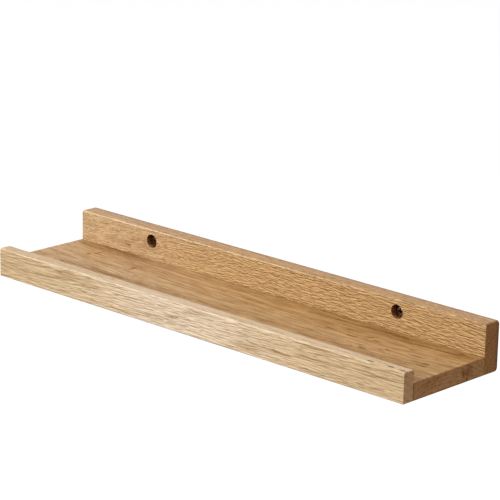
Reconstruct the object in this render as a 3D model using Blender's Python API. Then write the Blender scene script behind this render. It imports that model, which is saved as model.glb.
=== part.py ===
"""Picture ledge: a back board, a shelf and a front lip of solid oak, butt jointed.

The boards are glued edge to face on fluted dowels, and the ledge hangs on two
pan head screws that sit in counterbored holes and go into the wall behind it.

Metres. X runs along the ledge, -Y into the room, +Z up. The origin lies on the
back board's rear face, the wall plane, midway between the two screws.
"""

import math

import bmesh
import bpy
from mathutils import Vector

# Boards
LENGTH = 0.400
DEPTH = 0.100  # from the wall to the front of the lip
BACK_THICKNESS = 0.015
BACK_HEIGHT = 0.0365
SHELF_THICKNESS = 0.013
LIP_THICKNESS = 0.010
LIP_HEIGHT = 0.022
GLUE_GAP = 0.0003  # between the faces of a glued joint

# Rounded edges of the boards
REAR_RADIUS = 0.0025  # the back board's two long rear edges
REAR_END_RADIUS = 0.0011  # the upright rear edges of the back board's ends
CREST_RADIUS = 0.0012  # the long upper edges of the back board and of the lip
BACK_CORNER_RADIUS = 0.0017  # the top edges of the back board's ends
LIP_CORNER_RADIUS = 0.0011  # the top edges of the lip's ends
END_RADIUS = 0.0006  # every other edge of the two ends, and the lip's lower front edge
ROUNDING_SEGMENTS = 3

# Dowels of the two glued joints
DOWEL_COUNT = 4  # in each joint
DOWEL_INSET = 0.040  # from an end of the ledge to the nearest dowel
DOWEL_DIAMETER = 0.006
DOWEL_LENGTH = 0.025
DOWEL_CHAMFER = 0.0008
DOWEL_FLUTES = 16
FLUTE_DEPTH = 0.0003
LIP_COVER = 0.003  # wood left in front of a dowel's bore in the lip
BACK_COVER = 0.004  # wood left behind a dowel's bore in the back board
DOWEL_SIDE_GAP = 0.0003
DOWEL_END_GAP = 0.0005  # room for glue at each end of a dowel

# Screws and the holes that they hang in
SCREW_INSET = 0.078  # from an end of the ledge to the screw's axis
SCREW_DROP = 0.0095  # from the top of the back board to the screw's axis
SCREW_DIAMETER = 0.004
SCREW_LENGTH = 0.030  # below the head
SCREW_POINT = 0.006  # length of the tapered point
HEAD_DIAMETER = 0.008
HEAD_HEIGHT = 0.0028
HEAD_RIM = 0.0011  # height of the head's straight side, below its dome
RECESS_SPAN = 0.0046  # across the arms of the cross recess
RECESS_ARM = 0.0010  # width of one arm
RECESS_DEPTH = 0.0021
RECESS_TAPER = 0.35  # size of the recess at its floor against its mouth
SEAT_DEPTH = 0.0065  # of the counterbore
HEAD_SIDE_GAP = 0.0012  # around the head, in the counterbore
HEAD_SEAT_GAP = 0.0003  # under the head
SHANK_GAP = 0.0006  # around the shank, in the back board
MOUTH_CHAMFER = 0.0002  # broken edge of the counterbore

# Facets round a circle
BORE_STEPS = 24
HOLE_STEPS = 48
HEAD_STEPS = 40
DOME_STEPS = 6

# Places that follow from the sizes
CREST_Z = SCREW_DROP
UNDERSIDE_Z = CREST_Z - BACK_HEIGHT
JOINT_Z = UNDERSIDE_Z + SHELF_THICKNESS / 2
BACK_FRONT_Y = -BACK_THICKNESS
SHELF_REAR_Y = BACK_FRONT_Y - GLUE_GAP
LIP_FRONT_Y = -DEPTH
LIP_REAR_Y = LIP_FRONT_Y + LIP_THICKNESS
SHELF_FRONT_Y = LIP_REAR_Y + GLUE_GAP
SCREW_X = LENGTH / 2 - SCREW_INSET
SEAT_Y = BACK_FRONT_Y + SEAT_DEPTH
HEAD_Y = SEAT_Y - HEAD_SEAT_GAP
COUNTERBORE_RADIUS = HEAD_DIAMETER / 2 + HEAD_SIDE_GAP
SHANK_HOLE_RADIUS = SCREW_DIAMETER / 2 + SHANK_GAP
DOWEL_BORE_RADIUS = DOWEL_DIAMETER / 2 + DOWEL_SIDE_GAP
LIP_BORE_Y = LIP_FRONT_Y + LIP_COVER
LIP_DOWEL_Y = LIP_BORE_Y + DOWEL_END_GAP
BACK_BORE_Y = -BACK_COVER
BACK_DOWEL_Y = BACK_BORE_Y - DOWEL_END_GAP - DOWEL_LENGTH
CUT_OVERSHOOT = 0.002  # how far a cutter passes the face that it opens
INTO_WALL = (-math.pi / 2, 0, 0)  # turns a piece's own +Z to +Y


def clear_objects():
    for old in list(bpy.data.objects):
        bpy.data.objects.remove(old, do_unlink=True)


def material(name, colour, roughness, metallic=0.0):
    made = bpy.data.materials.new(name)
    made.use_nodes = True
    shader = made.node_tree.nodes["Principled BSDF"]
    shader.inputs["Base Color"].default_value = (*colour, 1.0)
    shader.inputs["Roughness"].default_value = roughness
    shader.inputs["Metallic"].default_value = metallic
    made.diffuse_color = (*colour, 1.0)
    return made


def mesh_from(bm, name, finish=None):
    bmesh.ops.recalc_face_normals(bm, faces=bm.faces)
    mesh = bpy.data.meshes.new(name)
    bm.to_mesh(mesh)
    bm.free()
    if finish:
        mesh.materials.append(finish)
    return mesh


def place(name, mesh, location=(0, 0, 0), rotation=(0, 0, 0), parent=None):
    made = bpy.data.objects.new(name, mesh)
    made.location = location
    made.rotation_euler = rotation
    made.parent = parent
    bpy.context.scene.collection.objects.link(made)
    return made


def as_cutter(made):
    made.hide_render = True
    made.display_type = "WIRE"
    return made


def cut(target, cutter):
    change = target.modifiers.new(cutter.name, "BOOLEAN")
    change.operation = "DIFFERENCE"
    change.solver = "EXACT"
    change.object = as_cutter(cutter)


def box_bmesh(low, high):
    """A box between two corners."""
    low, high = Vector(low), Vector(high)
    bm = bmesh.new()
    bmesh.ops.create_cube(bm, size=1.0)
    for vertex in bm.verts:
        vertex.co = (low + high) / 2 + vertex.co * (high - low)
    return bm


def turned_bmesh(profile, steps):
    """Points (radius, height), from pole to pole, turned about Z."""
    bm = bmesh.new()
    points = [bm.verts.new((radius, 0, height)) for radius, height in profile]
    lines = [bm.edges.new(pair) for pair in zip(points, points[1:])]
    bmesh.ops.spin(
        bm,
        geom=points + lines,
        cent=(0, 0, 0),
        axis=(0, 0, 1),
        angle=2 * math.pi,
        steps=steps,
        use_merge=True,
    )
    bmesh.ops.remove_doubles(bm, verts=bm.verts, dist=1e-6)
    return bm


def stacked_bmesh(sections):
    """A closed solid through sections, each a loop of as many points, capped at both ends."""
    bm = bmesh.new()
    loops = [[bm.verts.new(point) for point in section] for section in sections]
    bm.faces.new(loops[0])
    bm.faces.new(loops[-1])
    for low, high in zip(loops, loops[1:]):
        for i in range(len(low)):
            bm.faces.new((low[i - 1], low[i], high[i], high[i - 1]))
    return bm


def smooth(mesh, angle=math.radians(35)):
    mesh.shade_smooth()
    mesh.set_sharp_from_angle(angle=angle)
    return mesh


def rounded_board(name, low, high, radii, finish, parent):
    """A board between two corners. Its origin is the middle of its lower rear edge.

    radii maps the two faces that share an edge, such as "+z-y", to that edge's
    radius. One weighted bevel rounds them all, so that unlike radii meet cleanly.
    """
    low, high = Vector(low), Vector(high)
    origin = Vector(((low.x + high.x) / 2, high.y, low.z))
    bm = box_bmesh(low - origin, high - origin)
    weight = bm.edges.layers.float.new("bevel_weight_edge")
    widest = max(radii.values())
    for edge in bm.edges:
        sides = {side_name(face.normal) for face in edge.link_faces}
        for pair, radius in radii.items():
            if sides == {pair[:2], pair[2:]}:
                edge[weight] = radius / widest
    mesh = mesh_from(bm, name, finish)
    board = place(name, mesh, origin, parent=parent)
    rounding = board.modifiers.new("rounded_edges", "BEVEL")
    rounding.limit_method = "WEIGHT"
    rounding.width = widest
    rounding.segments = ROUNDING_SEGMENTS
    return board


def side_name(normal):
    axis = max(range(3), key=lambda i: abs(normal[i]))
    return ("+" if normal[axis] > 0 else "-") + "xyz"[axis]


def end_radii(*long_sides):
    """The edges that two ends share with the given faces, all at the end radius."""
    return {side + end: END_RADIUS for side in long_sides for end in ("-x", "+x")}


def make_back_board(finish, parent):
    radii = end_radii("-y", "-z")
    for end in ("-x", "+x"):
        radii["+z" + end] = BACK_CORNER_RADIUS
        radii["+y" + end] = REAR_END_RADIUS
    radii["+z+y"] = REAR_RADIUS
    radii["-z+y"] = REAR_RADIUS
    radii["+z-y"] = CREST_RADIUS
    low = (-LENGTH / 2, BACK_FRONT_Y, UNDERSIDE_Z)
    high = (LENGTH / 2, 0, CREST_Z)
    return rounded_board("back_board", low, high, radii, finish, parent)


def make_shelf_board(finish, parent):
    low = (-LENGTH / 2, SHELF_FRONT_Y, UNDERSIDE_Z)
    high = (LENGTH / 2, SHELF_REAR_Y, UNDERSIDE_Z + SHELF_THICKNESS)
    return rounded_board("shelf_board", low, high, end_radii("+z", "-z"), finish, parent)


def make_front_lip(finish, parent):
    radii = end_radii("-y", "+y", "-z")
    for end in ("-x", "+x"):
        radii["+z" + end] = LIP_CORNER_RADIUS
    radii["+z-y"] = CREST_RADIUS
    radii["+z+y"] = CREST_RADIUS
    radii["-z-y"] = END_RADIUS
    low = (-LENGTH / 2, LIP_FRONT_Y, UNDERSIDE_Z)
    high = (LENGTH / 2, LIP_REAR_Y, UNDERSIDE_Z + LIP_HEIGHT)
    return rounded_board("front_lip", low, high, radii, finish, parent)


def dowel_mesh(finish):
    """A fluted pin along Z, chamfered at both ends, its outline a ring of V grooves."""
    crest = DOWEL_DIAMETER / 2
    points = 2 * DOWEL_FLUTES

    def section(height, inward):
        ring = []
        for i in range(points):
            radius = crest - inward - (FLUTE_DEPTH if i % 2 else 0)
            angle = 2 * math.pi * i / points
            ring.append((radius * math.cos(angle), radius * math.sin(angle), height))
        return ring

    sections = [
        section(0, DOWEL_CHAMFER),
        section(DOWEL_CHAMFER, 0),
        section(DOWEL_LENGTH - DOWEL_CHAMFER, 0),
        section(DOWEL_LENGTH, DOWEL_CHAMFER),
    ]
    return mesh_from(stacked_bmesh(sections), "dowel", finish)


def bore_mesh(length):
    radius = DOWEL_BORE_RADIUS
    profile = [(0, 0), (radius, 0), (radius, length), (0, length)]
    return mesh_from(turned_bmesh(profile, BORE_STEPS), "dowel_bore")


def make_dowel_joint(prefix, dowel_y, boards, finish, parent):
    """A row of dowels whose near ends lie at dowel_y, and their bores in both boards."""
    pin = dowel_mesh(finish)
    bore = bore_mesh(DOWEL_LENGTH + 2 * DOWEL_END_GAP)
    first = -LENGTH / 2 + DOWEL_INSET
    pitch = (LENGTH - 2 * DOWEL_INSET) / (DOWEL_COUNT - 1)
    for i in range(DOWEL_COUNT):
        x = first + i * pitch
        number = i + 1
        place(f"{prefix}_dowel_{number}", pin, (x, dowel_y, JOINT_Z), INTO_WALL, parent)
        start = (x, dowel_y - DOWEL_END_GAP, JOINT_Z)
        cutter = place(f"{prefix}_bore_{number}", bore, start, INTO_WALL, parent)
        for board in boards:
            cut(board, cutter)


def screw_hole_mesh():
    """Counterbore with a broken edge at its mouth, then the shank's hole to the rear face."""
    mouth = -SEAT_DEPTH
    profile = [
        (0, mouth - CUT_OVERSHOOT),
        (COUNTERBORE_RADIUS + MOUTH_CHAMFER, mouth - CUT_OVERSHOOT),
        (COUNTERBORE_RADIUS + MOUTH_CHAMFER, mouth),
        (COUNTERBORE_RADIUS, mouth + MOUTH_CHAMFER),
        (COUNTERBORE_RADIUS, 0),
        (SHANK_HOLE_RADIUS, 0),
        (SHANK_HOLE_RADIUS, -SEAT_Y + CUT_OVERSHOOT),
        (0, -SEAT_Y + CUT_OVERSHOOT),
    ]
    return mesh_from(turned_bmesh(profile, HOLE_STEPS), "screw_hole")


def screw_mesh(finish):
    """Pan head over a straight shank and a tapered point, from the dome's top down +Z."""
    dome = HEAD_HEIGHT - HEAD_RIM
    profile = [(0, -HEAD_HEIGHT)]
    for i in range(1, DOME_STEPS + 1):
        angle = math.pi / 2 * i / DOME_STEPS
        radius = HEAD_DIAMETER / 2 * math.sin(angle)
        profile.append((radius, -HEAD_RIM - dome * math.cos(angle)))
    profile += [
        (HEAD_DIAMETER / 2, 0),
        (SCREW_DIAMETER / 2, 0),
        (SCREW_DIAMETER / 2, SCREW_LENGTH - SCREW_POINT),
        (0, SCREW_LENGTH),
    ]
    return smooth(mesh_from(turned_bmesh(profile, HEAD_STEPS), "wall_screw", finish))


def recess_mesh():
    """A cross that narrows from above the head to the recess's floor."""
    arm, reach = RECESS_ARM / 2, RECESS_SPAN / 2
    quarter = [(reach, arm), (arm, arm), (arm, reach)]

    def section(height, size):
        cross = []
        for turn in range(4):
            c, s = round(math.cos(turn * math.pi / 2)), round(math.sin(turn * math.pi / 2))
            cross += [((c * x - s * y) * size, (s * x + c * y) * size, height) for x, y in quarter]
        return cross

    floor = -HEAD_HEIGHT + RECESS_DEPTH
    slope = (1 - RECESS_TAPER) / RECESS_DEPTH
    above = -HEAD_HEIGHT - CUT_OVERSHOOT
    sections = [section(above, 1 + slope * CUT_OVERSHOOT), section(floor, RECESS_TAPER)]
    return mesh_from(stacked_bmesh(sections), "cross_recess")


def make_fixings(back_board, steel, parent):
    """Two screws, their holes in the back board and the recesses in their heads."""
    hole, screw, recess = screw_hole_mesh(), screw_mesh(steel), recess_mesh()
    for side, x in (("left", -SCREW_X), ("right", SCREW_X)):
        cut(back_board, place(f"hole_{side}", hole, (x, SEAT_Y, 0), INTO_WALL, parent))
        head = (x, HEAD_Y, 0)
        wall_screw = place(f"wall_screw_{side}", screw, head, INTO_WALL, parent)
        cut(wall_screw, place(f"recess_{side}", recess, head, INTO_WALL, parent))


def main():
    clear_objects()
    ledge = place("picture_ledge", None)
    back_board = make_back_board(material("oak_back", (0.50, 0.30, 0.13), 0.5), ledge)
    shelf_board = make_shelf_board(material("oak_shelf", (0.45, 0.25, 0.10), 0.5), ledge)
    front_lip = make_front_lip(material("oak_lip", (0.62, 0.43, 0.22), 0.5), ledge)
    beech = material("beech", (0.66, 0.46, 0.28), 0.6)
    make_dowel_joint("lip", LIP_DOWEL_Y, (front_lip, shelf_board), beech, ledge)
    make_dowel_joint("back", BACK_DOWEL_Y, (shelf_board, back_board), beech, ledge)
    steel = material("screw_steel", (0.16, 0.145, 0.13), 0.35, 1.0)
    make_fixings(back_board, steel, ledge)


main()
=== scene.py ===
"""Looks of an oak picture ledge: three boards, two wall screws, the dowels and the glue lines.

Metres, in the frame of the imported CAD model: X runs along the ledge, -Y into the
room and +Z up, with the wall's plane at y = 0. Grain patterns are worked out in
millimetres in that frame, so they run through the solid wood.
"""

import math
from collections import namedtuple
from functools import partial, wraps

import bmesh
import bpy
import numpy as np
from mathutils import Matrix, Vector


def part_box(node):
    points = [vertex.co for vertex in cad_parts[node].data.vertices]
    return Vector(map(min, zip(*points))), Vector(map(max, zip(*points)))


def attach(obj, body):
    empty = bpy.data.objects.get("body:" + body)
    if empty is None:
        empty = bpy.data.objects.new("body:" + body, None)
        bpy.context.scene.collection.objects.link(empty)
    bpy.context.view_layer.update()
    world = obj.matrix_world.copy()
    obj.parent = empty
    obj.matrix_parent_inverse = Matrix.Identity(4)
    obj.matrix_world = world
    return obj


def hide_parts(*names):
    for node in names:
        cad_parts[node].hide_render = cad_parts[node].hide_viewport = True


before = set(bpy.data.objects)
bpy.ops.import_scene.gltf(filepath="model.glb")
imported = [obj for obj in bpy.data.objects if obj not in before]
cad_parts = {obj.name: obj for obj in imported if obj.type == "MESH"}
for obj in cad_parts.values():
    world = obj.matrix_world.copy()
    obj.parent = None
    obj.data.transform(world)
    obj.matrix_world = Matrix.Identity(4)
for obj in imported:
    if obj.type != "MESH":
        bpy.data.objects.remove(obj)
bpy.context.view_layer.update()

bl_info = {
    "name": "Oak Picture Ledge",
    "version": (1, 0, 0),
    "blender": (4, 5, 0),
    "location": "View3D > Sidebar > Ledge",
    "description": "Builds the finished boards, screws and glue lines of a picture ledge",
    "category": "Object",
}

MM = 0.001
TURN = 2 * math.pi
QUARTER = math.pi / 2

# Facets of the boards
ALONG_STEP = 1.25 * MM
ACROSS_STEP = 1.1 * MM
FEWEST_STEPS = 4  # across a face
ARC_STEPS = 6
END_RINGS = 14
CAP_SCALES = (0.2, 0.45, 0.7, 0.86, 0.95, 0.988)
EASE = 0.85  # how far a flat face's rows gather towards its edges
SHARP_ANGLE = math.radians(35)

# Waves of the sanded faces and wear of the long edges
FACE_WAVES = (70 * MM, 24 * MM, 18 * MM)  # wavelengths along x, y and z
FACE_WAVE_COUNT = 7
EDGE_WAVES = (34 * MM, 90 * MM, 90 * MM)
EDGE_WAVE_COUNT = 4
EDGE_WAVE_SHARE = 0.5  # of the wear
EDGE_SEED = 10
WAVE_SPREAD = (0.5, 1.5)  # how much faster or slower than the given one a wave may run
DENTS = 7  # on each edge
DENT_LENGTHS = (0.8, 3.0)  # in millimetres
DENT_DEPTHS = (0.2, 1.0)  # shares of the wear

# Rounded edges that no joint hides, as in the CAD model
REAR_RADIUS = 2.5 * MM
REAR_END_RADIUS = 1.1 * MM
CREST_RADIUS = 1.2 * MM
BACK_CORNER_RADIUS = 1.7 * MM
LIP_CORNER_RADIUS = 1.1 * MM
END_RADIUS = 0.6 * MM
HIDDEN_RADIUS = 0.15 * MM  # edges that butt against another board

# Bores and counterbores
BORE_STEPS = 32
HOLE_STEPS = 64
DOWEL_SIDE_GAP = 0.3 * MM
DOWEL_END_GAP = 0.5 * MM
HEAD_SIDE_GAP = 1.2 * MM
HEAD_SEAT_GAP = 0.3 * MM
SHANK_GAP = 0.6 * MM
MOUTH_CHAMFER = 0.25 * MM
OVERSHOOT = 2 * MM
CAP_FRACTION = 50  # a cutter's flat end starts from a ring this many times narrower

# Glue in the two joints
GLUE_RECESS = 0.25 * MM
GLUE_CLEARANCE = 0.02 * MM
GLUE_ROUNDING = 0.06 * MM
GLUE_WAVES = 0.02 * MM
GLUE_STEP = 4 * MM

# Screw
HEAD_HEIGHT = 2.8 * MM
HEAD_RIM = 1.1 * MM
RIM_ROUNDING = 0.2 * MM
RIM_STEPS = 4
DOME_STEPS = 14
DOME_START = 0.04  # angle of the first ring from the pole
SHANK_RADIUS = 2.0 * MM
ROOT_SHARE = 1.05  # of SHANK_RADIUS, where the shank leaves the head
NECK_SHARE = 0.94  # of SHANK_RADIUS, in the plain neck
RIDGE_HALF = 0.26  # half the foot of the thread's ridge, in pitches
TIP_SHARE = 0.03  # of the core's radius, at the tip
TIP_CURVE = 0.8
POINT_LENGTH = 6 * MM
SCREW_STEPS = 56
THREAD_STEP = 0.1 * MM
RECESS_SPAN = 5.0 * MM
RECESS_ARM = 1.45 * MM
RECESS_DEPTH = 2.1 * MM
RECESS_TAPER = 0.35
RECESS_STEPS = 12  # along an arm's side
RECESS_END_STEPS = 3  # along half an arm's end
LEAST_SINE = 1e-9

# Colours and surfaces that no setting changes. A scale is a noise's cells in a metre, and a pair
# for roughness is how much its pattern adds and what it starts from.
BEECH_DEEP, BEECH_PALE, BEECH_FLECK = (0.72, 0.55, 0.38), (0.87, 0.73, 0.56), (0.52, 0.35, 0.21)
GLUE_DEEP, GLUE_PALE = (0.30, 0.19, 0.11), (0.46, 0.31, 0.19)
GLUE_SCALE, GLUE_ROUGHNESS = (420.0, 900.0, 900.0), (0.2, 0.35)
BEECH_FIBRE = {"Length": 9.0, "Width": 0.5}
BEECH_PORE = {"Length": 2.0, "Width": 0.25}
FLECK_SHARE, BEECH_ROUGHNESS = 0.5, (0.1, 0.58)
FINE_RELIEF = 0.05 * MM
POLISH_IOR = 1.8  # of the coat on rubbed arrises
UNWORN = 0.35  # brightness of the plating that no driver has rubbed
TURNING_SCALE, TURNING_NOISE, TURNING_ROUGHNESS = (2600.0,) * 3, (3.0, 0.6), 0.2
WEAR_SCALE, WEAR_RANGE = (700.0,) * 3, (0.42, 0.66)
STEEL_RELIEF = 0.02 * MM
# Painted shade in the screws' cross recesses: its colour, share, reach and depth
RECESS_SHADE, RECESS_SHADE_SHARE = (0.09, 0.07, 0.06), 0.9
RECESS_SHADE_REACH = (0.53 * RECESS_SPAN, 0.56 * RECESS_SPAN)
RECESS_SHADE_DEPTH = (0.45 * MM, 0.9 * MM)

# Stage, in metres
FLOOR_REACH = 20.0
FLOOR_COLOUR = (0.63, 0.63, 0.63)
FLOOR_LIFT = 0.80  # what the camera sees on top of the floor's own light, to reach white
WHITE = (1.0, 1.0, 1.0, 1.0)
LEDGE_MIDDLE = Vector((0.0, -0.050, -0.007))
CAMERA_SHIFT = (0.010734, 0.031599)  # how far the camera stands to its own right and up
KEY_DIRECTION, KEY_SIZE = Vector((-0.46, -0.76, 0.46)), 3.2
REAR_DIRECTION, REAR_SIZE = Vector((-0.41, 0.41, 0.81)), 0.6
LAMP_DISTANCE = 4.4

BACK, SHELF, LIP = "back_board", "shelf_board", "front_lip"
SCREWS = ("wall_screw_left", "wall_screw_right")
LIP_DOWELS = tuple(f"lip_dowel_{i}" for i in range(1, 5))
BACK_DOWELS = tuple(f"back_dowel_{i}" for i in range(1, 5))

# How the grain of each board runs, in millimetres. pith is the depth and height at which the
# tree's middle lay. lean is how far the fibres move in depth and in height for each millimetre
# along the board, bow how far a bend that grows with the square of the way has moved them 100 mm
# from its middle, and wander how strongly a slow noise moves them. A pattern's two sizes are its
# length along the grain and its width, and fray is the pattern that breaks up the edges of marks.
# shares is how far each pattern moves the tone, pore_share is how dark a pore is, and pace is the
# change of tone over 100 mm along the board. The ridge share moves it by painted light and shade:
# the side of each ridge that faces up is painted paler. pale_patch is a paler stretch, where hands
# have rubbed the edge: its middle, its half length and how much paler. calm is how much weaker the
# ridges are there, worn_top is how far the top face has the colour of that stretch all along, and
# rubbed is how far the upper front edge is painted pale at the board's left end and at its right
# end: partly wear, and partly a painted highlight where that edge faces the lamps.
GRAINS = {
    BACK: dict(
        pith=(38, -52), ring_spacing=3.4, lean=(0, 0.015), bow=(0, -1.2), wander=0.3,
        fibre=(5, 0.95), band=(8, 4.2), ridge=(6.8, 0.76), pore=(3.4, 0.40), fray=(6.5, 0.95),
        shares=dict(ring=0.02, fibre=0.18, band=0.05, ridge=0.46), pore_share=0.42, pace=-0.015,
        pale_patch=(-160, 80, 0.10), calm=0.62, worn_top=0, rubbed=(0.48, 0.08), seed=3,
    ),
    SHELF: dict(
        pith=(-70, -95), ring_spacing=3, lean=(-0.010, 0), bow=(2.4, 0), wander=0.7,
        fibre=(20, 2), band=(110, 4.2), ridge=(14, 2.2), pore=(6, 0.8), fray=(5, 0.8),
        shares=dict(ring=0.08, fibre=0.34, band=0.26, ridge=0.16), pore_share=0.30, pace=-0.035,
        pale_patch=(-110, 80, 0.06), calm=0, worn_top=0, rubbed=(0, 0), seed=11,
    ),
    LIP: dict(
        pith=(-125, -60), ring_spacing=4.6, lean=(0, 0.025), bow=(0, -0.3), wander=0.35,
        fibre=(18, 0.95), band=(80, 4.5), ridge=(12, 0.96), pore=(9, 0.50), fray=(18, 0.95),
        shares=dict(ring=0.02, fibre=0.19, band=0.08, ridge=0.24), pore_share=0.35, pace=0.02,
        pale_patch=(-10, 95, 0.28), calm=-0.60, worn_top=0.55, rubbed=(0.60, 0.12), seed=23,
    ),
}
LEDGE_ENDS, SHELF_TOP, LIP_FRONT = (-200, 200), -14, -100  # in millimetres
HUNDRED = 100  # millimetres, the unit of pace and bow

# Single marks: knots, flecks and streaks of darker growth, and painted shade in the screw holes, along
# the shelf's lower edge and along the foot of the back board. centre and reach, the half sizes, are in
# millimetres. slope is how far a mark moves in depth and height along it, and share is how much darker
# its middle is.
Mark = namedtuple("Mark", "centre reach slope share")
LEVEL = (0.0, 0.0)


def top_mark(x, y, length, depth, share, lean=0.0, height=2.5):
    """A mark on the top face of the shelf."""
    return Mark((x, y, SHELF_TOP), (length, depth, height), (lean, 0.0), share)


def front_mark(x, z, length, height, share, rise=0.0, depth=6.0):
    """A mark on the front face of the lip."""
    return Mark((x, LIP_FRONT, z), (length, depth, height), (0.0, rise), share)


SHELF_TOP_MARKS = (
    (107, -45.4, 7, 1.5, 0.66),
    (119, -38.2, 4, 1.6, 0.66, 0.5),
    (97, -35.6, 4.6, 1.3, 0.42),
    (84.6, -42.8, 6.6, 1.5, 0.68),
    (127, -41.4, 5.4, 1.6, 0.55),
    (144.4, -50.6, 4.4, 1.6, 0.66, -0.4),
    (140.3, -53.8, 3.8, 1.3, 0.50),
    (129, -60.2, 6.4, 1.8, 0.66, -0.2),
    (121, -62.2, 4.4, 1.4, 0.52),
    (124, -55.5, 4.8, 1.2, 0.44),
    (156, -39.4, 4.6, 1.4, 0.62),
    (181.4, -55, 3.4, 2, 0.60),
    (181.9, -60, 4.4, 1.9, 0.74),
    (185.6, -20.8, 5.4, 1.7, 0.50, 0.3),
    (167, -47.2, 9, 1.6, 0.28),
    (-161.7, -32.4, 2.4, 5.6, 0.46),
    (-165.5, -40.2, 3.2, 4.2, 0.36),
    (-113.6, -43.2, 2.4, 7.4, 0.50),
    # Painted shade: the next two rows are darker bands along the foot of the back board
    (-160, -17, 70, 12, 0.26, 0.06, 4),
    (130, -24, 110, 6, 0.22, -0.02, 4),
    (-140, -67, 70, 1.8, 0.36),
    (-120, -63, 60, 1.4, 0.25),
)
LIP_FRONT_MARKS = (
    (-183, -15.6, 22, 5, 0.11, 0.02),
    (-146, -16.2, 11, 1.5, 0.12),
    (-132, -14.5, 19, 0.9, 0.24, 0.02),
    (-124, -10, 15, 6, 0.24, 0.04, 9),
    (-101, -12, 13, 3.4, 0.20, 0.06),
    (-66, -23.8, 30, 2, 0.28, 0.02),
    (-14, -16, 22, 3, 0.26, 0.24),
    (-29, -19.4, 14, 0.8, 0.34, 0.03),
    (10, -8, 15, 2.4, 0.28, 0.12),
    (56, -21.4, 20, 3.4, 0.38, 0.12),
    (82, -18.8, 26, 2.4, 0.32, 0.04),
    (126, -7, 30, 1.7, 0.34),
    (132, -14.8, 44, 1.3, 0.46, 0.02),
    (176, -13.4, 26, 1.6, 0.36, 0.04),
    (178, -8.4, 40, 1.2, 0.46, 0.01),
)
MARKS = {
    BACK: (
        Mark((-140, -15, -5.5), (45, 4, 2.6), (0, 0.03), 0.22),
        Mark((-147, -15, -7.8), (6, 2, 0.9), (0, -0.1), 0.55),
        # Painted shade inside the two counterbores
        *(Mark((x, -8.5, 0), (9, 6.5, 9), LEVEL, 0.90) for x in (-122, 122)),
    ),
    SHELF: (
        *(top_mark(*row) for row in SHELF_TOP_MARKS),
        Mark((199, -33, -19.5), (14, 8, 7), LEVEL, 0.33),
        Mark((199, -33.6, -25.2), (14, 1.5, 3.4), LEVEL, 0.72),
        Mark((199, -37.6, -20), (14, 2, 4.4), LEVEL, 0.55),
        Mark((199, -71, -18.5), (14, 14, 3), LEVEL, 0.16),
        # Painted shade: a dark line along the lower edge of the shelf's right end
        Mark((200, -52, -27), (3, 50, 1.6), LEVEL, 0.60),
    ),
    LIP: (
        *(front_mark(*row) for row in LIP_FRONT_MARKS),
        Mark((169, -97.6, -5.2), (4, 1.6, 1.6), LEVEL, 0.85),
        Mark((186, -97.2, -5.2), (4.6, 1.6, 1.6), LEVEL, 0.95),
        Mark((196, -97, -5.2), (6, 1.4, 1.6), LEVEL, 0.95),
    ),
}

# How marks, patterns and handling act on the oak
MARK_BEND = 1.2  # how far the grain goes round the middle of a full mark
MARK_EDGE = (0.45, 1.3)  # where a mark fades, in units of its reach
FRAYING = 0.5
DRIFT_SCALE = (0.014, 0.03, 0.03)  # of the slow noise by which the grain wanders
DRIFT_REACH = 4.0  # in millimetres, where Wander is 1
SEED_STEP = 97.0  # in millimetres along the grain
RING_DRIFT = (0.008, 0.55)  # how fast the rings' unevenness changes along the grain and by the year
RING_UNEVENNESS = 2.0  # in years
RING_FALL, RING_RISE, POROUS_FALL = (0.0, 0.55), (0.9, 1.0), (0.1, 0.6)  # parts of a year
LEAST_POROUS = 0.15
FIBRE_NOISE, FIBRE_SPREAD = (3.0, 0.45), (0.32, 0.68)  # a noise's detail, roughness and distortion
RIDGE_NOISE, RIDGE_SPREAD = (1.5, 0.4, 0.15), (0.34, 0.66)
LIT_STEP = 0.7  # how far up the face Lit looks, in widths of a ridge
PORE_NOISE, PORE_LEVELS, PORE_EDGE = (1.0, 0.5), (0.70, 0.56), (0.0, 0.07)
MID_TONE = 0.5
TOP_QUIET = 0.75  # how much fainter the ridges and the paler stretch are on a top face
CALM_BANDS = 0.22  # what the bands gain where the ridges are calm
END_RING_SHARE = 0.08
END_TONE_SHARE = 0.35  # of the long faces' pattern, in the end grain
# Marks darken towards the pore colour: real knots, and the marks that are painted shade
KNOT_AND_SHADE_RANGE, KNOT_AND_SHADE_SHARE = (0.45, 1.0), 0.5
# The rubbed upper edges are partly wear and partly a painted highlight where they face the lamps
FIBRE_RUB_AND_HIGHLIGHT = 0.4  # how much of the rubbing keeps to the pale fibres
RUB_AND_HIGHLIGHT_SHARE = 0.7
POLISH_SHARE = 0.9
# Painted shade beside the wall plane, where a wall would hold back the light
WALL_SHADE_DEPTH, WALL_SHADE_SHARE = (-5.0 * MM, -1.5 * MM), 0.8  # beside the wall
RIDGE_HEIGHT, FIBRE_HEIGHT, PORE_HEIGHT = 0.65, 0.35, -0.4
FIBRE_ROUGHNESS, PORE_ROUGHNESS, END_ROUGHNESS = -0.08, 0.2, 0.12

# Ranges of the normal's parts over which a face comes to count as one that looks that way
TOP_FACE = (0.8, 0.98)
END_FACE = (0.55, 0.9)
WALL_FACE = (0.90, 0.99)
UPPER_RISE, UPPER_DEPTH = (0.15, 0.38), (-0.78, -0.5)
LOWER_RISE, UNDERSIDE = (-0.45, -0.15), (-0.98, -0.85)
REAR_DEPTH, REAR_FACE = (0.12, 0.4), (0.85, 0.98)


def colour_property(name, description, default):
    return bpy.props.FloatVectorProperty(
        name=name, description=description, default=default, size=3, min=0.0, max=1.0, subtype="COLOR_GAMMA"
    )


def number_property(name, description, default, **kind):
    return bpy.props.FloatProperty(name=name, description=description, default=default, **kind)


length_property = partial(number_property, unit="LENGTH", min=0.0, precision=5)
share_property = partial(number_property, subtype="FACTOR", min=0.0, max=1.0)
power_property = partial(number_property, unit="POWER", min=0.0)
angle_property = partial(number_property, subtype="ANGLE")


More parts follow.
